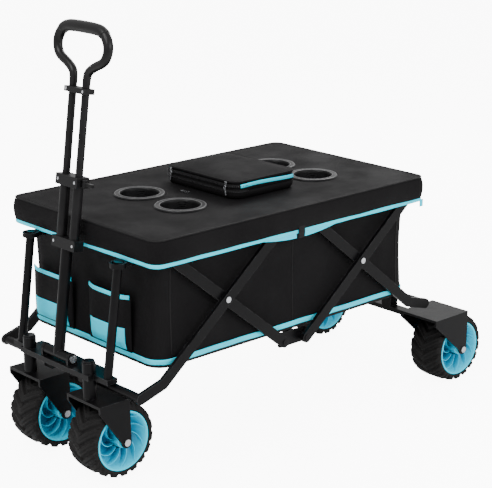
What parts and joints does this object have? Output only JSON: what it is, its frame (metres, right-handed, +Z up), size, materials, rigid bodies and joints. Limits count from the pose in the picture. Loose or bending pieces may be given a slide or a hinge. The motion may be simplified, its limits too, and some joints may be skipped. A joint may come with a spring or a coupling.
{
  "type": "folding beach cart",
  "caption": "Folding beach cart: fabric tub in a scissor frame on balloon wheels, with swivelling casters, a zip-on lid with cup holders and a telescoping tow handle.",
  "frame": {"origin": "centre of the object's footprint, on the ground under the tyres", "axes": "+X forward to the tow handle, +Y to the cart's left side, +Z up"},
  "size_m": [1.184, 0.599, 0.9977],
  "materials": {
    "frame_paint": "satin powder coat",
    "steel": "zinc plated",
    "tread_rubber": "matt rubber",
    "blue_plastic": "semi-gloss moulded",
    "black_fabric": "coated polyester weave",
    "blue_fabric": "woven polyester binding",
    "mesh_net": "open mesh",
    "black_plastic": "moulded, fine texture"
  },
  "bodies": {
    "front_frame": {"front_bridge": "frame_paint", "front_posts": "frame_paint", "handle_pivot_bolt": "steel"},
    "front_leg": {"front_leg_tube": "frame_paint", "front_cross_rivets": "steel"},
    "front_bars": {"front_inner_bars": "frame_paint"},
    "mid_foot": {"bottom_mid_brackets": "frame_paint", "floor_cross_tube": "frame_paint"},
    "rear_bars": {"rear_outer_bars": "frame_paint", "rear_cross_rivets": "steel"},
    "rear_leg": {"rear_leg_tube": "frame_paint"},
    "rear_frame": {"rear_axle_frame": "frame_paint", "rear_axle_bolts": "steel"},
    "rear_left_wheel": {"rear_left_tyre": "tread_rubber", "rear_left_rim": "blue_plastic"},
    "rear_right_wheel": {"rear_right_tyre": "tread_rubber", "rear_right_rim": "blue_plastic"},
    "left_caster": {"left_caster_fork": "frame_paint", "left_caster_bolt": "steel"},
    "front_left_wheel": {"front_left_tyre": "tread_rubber", "front_left_rim": "blue_plastic"},
    "right_caster": {"right_caster_fork": "frame_paint", "right_caster_bolt": "steel"},
    "front_right_wheel": {"front_right_tyre": "tread_rubber", "front_right_rim": "blue_plastic"},
    "tub": {"top_mid_brackets": "frame_paint", "tub_fabric": "black_fabric", "floor_mat": "black_fabric", "left_pocket": "blue_fabric", "right_pocket": "blue_fabric"},
    "front_rim": {"front_rim_tube": "frame_paint", "front_rim_brackets": "frame_paint"},
    "rear_rim": {"rear_rim_tube": "frame_paint", "rear_rim_brackets": "frame_paint"},
    "lid": {"lid_cover": "black_fabric", "cup_flanges": "black_plastic", "cup_nets": "mesh_net", "lid_bag": "black_fabric"},
    "bag_flap": {"bag_flap": "black_fabric"},
    "bag_zips": {"bag_zip_pulls": "steel"},
    "lid_zip": {"lid_zip_pull": "steel"},
    "handle": {"handle_pole": "frame_paint", "handle_sleeves": "black_plastic", "handle_clamp": "black_plastic"},
    "clamp_lever": {"clamp_lever": "black_plastic"},
    "handle_slider": {"handle_rods": "black_plastic", "handle_collar": "black_plastic", "handle_grip": "black_plastic"}
  },
  "joints": [
    {"name": "fold", "type": "hinge", "parent": "front_frame", "child": "front_leg", "pos_m": [0.526, 0, 0.225], "axis": [0, 1, 0], "range_deg": [0, 34], "deforming": ["tub_fabric", "floor_mat", "left_pocket", "right_pocket", "lid_cover", "cup_flanges", "cup_nets", "lid_bag", "bag_flap", "bag_zip_pulls", "lid_zip_pull"]},
    {"name": "front_cross", "type": "hinge", "parent": "front_leg", "child": "front_bars", "pos_m": [0.277, 0, 0.393], "axis": [0, 1, 0], "range_deg": [-69, 1]},
    {"name": "mid_foot_pivot", "type": "hinge", "parent": "front_bars", "child": "mid_foot", "pos_m": [0.091, 0, 0.243], "axis": [0, 1, 0], "range_deg": [-1, 35]},
    {"name": "rear_bars_pivot", "type": "hinge", "parent": "mid_foot", "child": "rear_bars", "pos_m": [0.029, 0, 0.243], "axis": [0, 1, 0], "range_deg": [-1, 35]},
    {"name": "rear_cross", "type": "hinge", "parent": "rear_bars", "child": "rear_leg", "pos_m": [-0.157, 0, 0.393], "axis": [0, 1, 0], "range_deg": [-69, 1]},
    {"name": "rear_foot_pivot", "type": "hinge", "parent": "rear_leg", "child": "rear_frame", "pos_m": [-0.406, 0, 0.225], "axis": [0, 1, 0], "range_deg": [-1, 35]},
    {"name": "top_mid_pivot", "type": "hinge", "parent": "front_leg", "child": "tub", "pos_m": [0.091, 0, 0.543], "axis": [0, 1, 0], "range_deg": [-35, 1]},
    {"name": "front_corner_pivot", "type": "hinge", "parent": "front_bars", "child": "front_rim", "pos_m": [0.463, 0, 0.543], "axis": [0, 1, 0], "range_deg": [-1, 35]},
    {"name": "rear_corner_pivot", "type": "hinge", "parent": "rear_bars", "child": "rear_rim", "pos_m": [-0.343, 0, 0.543], "axis": [0, 1, 0], "range_deg": [-35, 1]},
    {"name": "lid_lift", "type": "slide", "parent": "tub", "child": "lid", "axis": [0, 0, 1], "range_m": [0, 0.25]},
    {"name": "bag_flap_hinge", "type": "hinge", "parent": "lid", "child": "bag_flap", "pos_m": [-0.062, 0, 0.6046], "axis": [0, -1, 0], "range_deg": [0, 100]},
    {"name": "bag_zip_slide", "type": "slide", "parent": "lid", "child": "bag_zips", "axis": [0, 1, 0], "range_m": [-0.015, 0.015]},
    {"name": "lid_zip_slide", "type": "slide", "parent": "lid", "child": "lid_zip", "axis": [0, 1, 0], "range_m": [-0.05, 0.08]},
    {"name": "left_caster_swivel", "type": "hinge", "parent": "front_frame", "child": "left_caster", "pos_m": [0.5562, 0.112, 0.23], "axis": [0, 0, 1], "continuous": true},
    {"name": "right_caster_swivel", "type": "hinge", "parent": "front_frame", "child": "right_caster", "pos_m": [0.5562, -0.112, 0.23], "axis": [0, 0, 1], "continuous": true},
    {"name": "front_left_wheel_spin", "type": "hinge", "parent": "left_caster", "child": "front_left_wheel", "pos_m": [0.502, 0.112, 0.09], "axis": [0, 1, 0], "continuous": true},
    {"name": "front_right_wheel_spin", "type": "hinge", "parent": "right_caster", "child": "front_right_wheel", "pos_m": [0.502, -0.112, 0.09], "axis": [0, 1, 0], "continuous": true},
    {"name": "rear_left_wheel_spin", "type": "hinge", "parent": "rear_frame", "child": "rear_left_wheel", "pos_m": [-0.502, 0.2365, 0.09], "axis": [0, 1, 0], "continuous": true},
    {"name": "rear_right_wheel_spin", "type": "hinge", "parent": "rear_frame", "child": "rear_right_wheel", "pos_m": [-0.502, -0.2365, 0.09], "axis": [0, 1, 0], "continuous": true},
    {"name": "handle_tilt", "type": "hinge", "parent": "front_frame", "child": "handle", "pos_m": [0.555, 0, 0.267], "axis": [0, 1, 0], "range_deg": [0, 95]},
    {"name": "handle_telescope", "type": "slide", "parent": "handle", "child": "handle_slider", "axis": [-0.134, 0, 0.991], "range_m": [-0.1, 0]},
    {"name": "clamp_lever_hinge", "type": "hinge", "parent": "handle", "child": "clamp_lever", "pos_m": [0.50248, 0.0448, 0.65547], "axis": [-0.134, 0, 0.991], "range_deg": [0, 70]}
  ],
  "couplings": [
    {"joint": "front_cross", "follows": "fold", "ratio": -2},
    {"joint": "mid_foot_pivot", "follows": "fold", "ratio": 1},
    {"joint": "rear_bars_pivot", "follows": "fold", "ratio": 1},
    {"joint": "rear_cross", "follows": "fold", "ratio": -2},
    {"joint": "rear_foot_pivot", "follows": "fold", "ratio": 1},
    {"joint": "top_mid_pivot", "follows": "fold", "ratio": -1},
    {"joint": "front_corner_pivot", "follows": "fold", "ratio": 1},
    {"joint": "rear_corner_pivot", "follows": "fold", "ratio": -1}
  ]
}
